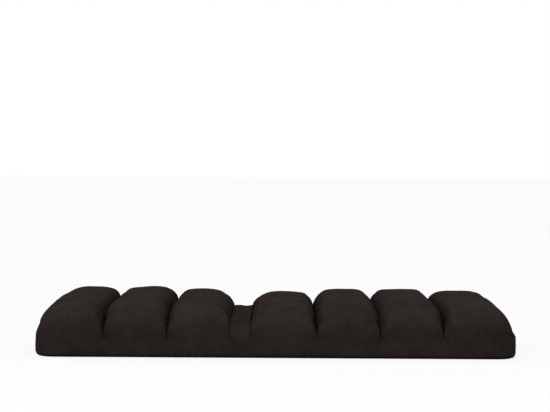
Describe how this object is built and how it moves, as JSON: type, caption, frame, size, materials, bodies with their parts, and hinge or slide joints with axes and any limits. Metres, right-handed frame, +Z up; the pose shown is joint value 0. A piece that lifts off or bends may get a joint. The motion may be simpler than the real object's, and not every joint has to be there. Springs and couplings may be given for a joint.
{
  "type": "folding floor chair",
  "caption": "Quilted floor chair that lies flat as a mattress, raises its back on a ratchet hinge and folds shut over its seat.",
  "frame": {"origin": "on the floor under the middle of the chair as it lies flat", "axes": "+X from the head end to the front of the seat, +Y to the sitter's left, +Z up"},
  "size_m": [1.12, 0.54, 0.13],
  "materials": {
    "cover_top": "matte",
    "cover_side": "matte",
    "underside": "matte",
    "backing": "matte",
    "foam": "matte",
    "frame_tube": "satin",
    "zinc_plate": "satin",
    "ratchet_steel": "satin",
    "rivet_steel": "satin",
    "nylon": "matte"
  },
  "bodies": {
    "seat": {"seat_frame": "frame_tube", "seat_cross_bars": "frame_tube", "seat_lower_foam": "foam", "seat_upper_foam": "foam", "seat_backing_cloth": "backing", "seat_side_band": "cover_side", "seat_underside_cloth": "underside", "seat_channel_rear": "cover_top", "seat_channel_second": "cover_top", "seat_channel_third": "cover_top", "seat_channel_front": "cover_top", "hinge_outer_plates": "zinc_plate", "hinge_inner_plates": "zinc_plate", "hinge_pivot_rivets": "rivet_steel", "hinge_washers": "nylon", "pawl_pins": "rivet_steel", "pawl_springs": "rivet_steel", "fold_top_cloth": "cover_top", "fold_side_gussets": "cover_side", "fold_underside_strip": "underside"},
    "back": {"back_side_rails": "frame_tube", "back_cross_bars": "frame_tube", "back_lower_foam": "foam", "back_upper_foam": "foam", "back_backing_cloth": "backing", "back_side_bands": "cover_side", "back_underside_cloth": "underside", "back_channel_lower": "cover_top", "back_channel_upper": "cover_top", "ratchet_discs": "ratchet_steel", "head_hinge_back_arms": "zinc_plate", "head_hinge_rivets": "rivet_steel", "head_friction_washers": "nylon", "head_side_gussets": "cover_side", "head_underside_strip": "underside"},
    "head": {"head_frame": "frame_tube", "head_lower_foam": "foam", "head_upper_foam": "foam", "head_backing_cloth": "backing", "head_side_band": "cover_side", "head_underside_cloth": "underside", "head_channel": "cover_top", "head_hinge_head_arms": "ratchet_steel"},
    "pawls": {"pawls": "ratchet_steel"}
  },
  "joints": [
    {"name": "backrest_fold", "type": "hinge", "parent": "seat", "child": "back", "pos_m": [-0.083, 0, 0.052], "axis": [0, 1, 0], "range_deg": [0, 157.5], "deforming": ["seat_channel_rear", "seat_channel_second", "seat_channel_third", "seat_channel_front", "back_channel_lower", "back_channel_upper", "head_channel", "fold_top_cloth", "fold_side_gussets", "fold_underside_strip"]},
    {"name": "head_tilt", "type": "hinge", "parent": "back", "child": "head", "pos_m": [-0.398, 0, 0.033], "axis": [0, 1, 0], "range_deg": [0, 22.5], "deforming": ["head_side_gussets", "head_underside_strip"]},
    {"name": "pawl_engage", "type": "hinge", "parent": "seat", "child": "pawls", "pos_m": [-0.07708, 0, 0.02157], "axis": [0, -1, 0], "range_deg": [0, 6], "deforming": ["pawl_springs"]}
  ]
}
